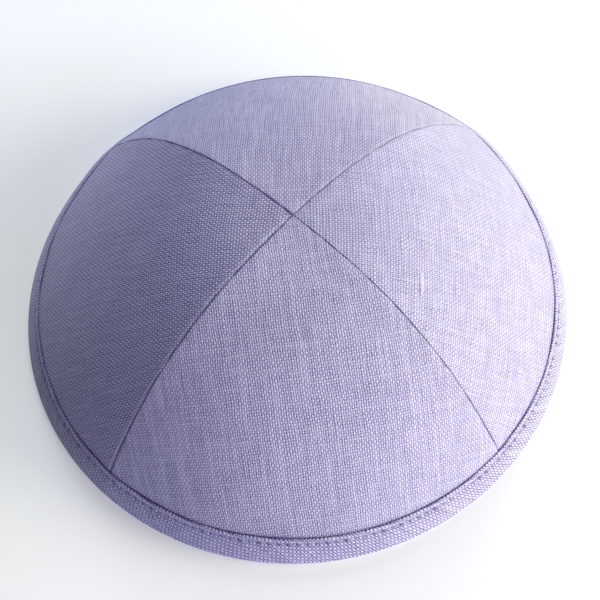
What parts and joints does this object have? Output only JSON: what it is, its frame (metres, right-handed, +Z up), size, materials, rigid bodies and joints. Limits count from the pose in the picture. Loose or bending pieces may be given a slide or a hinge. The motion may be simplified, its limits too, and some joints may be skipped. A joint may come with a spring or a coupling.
{
  "type": "kippah",
  "caption": "Shallow round skullcap of woven linen panels with a narrow folded band round its open edge, resting dome up.",
  "frame": {"origin": "under the crown, on the surface that the cap rests on", "axes": "+Z up through the crown, +X towards the right panel, +Y towards the back panel"},
  "size_m": [0.1638, 0.1662, 0.0495],
  "materials": {
    "panel_linen": "matte plain-woven lavender linen",
    "band_linen": "matte plain-woven lavender linen cut on the bias"
  },
  "bodies": {
    "root": {"panel_back": "panel_linen", "panel_left": "panel_linen", "panel_front": "panel_linen", "panel_right": "panel_linen", "rim_band": "band_linen"}
  },
  "joints": []
}
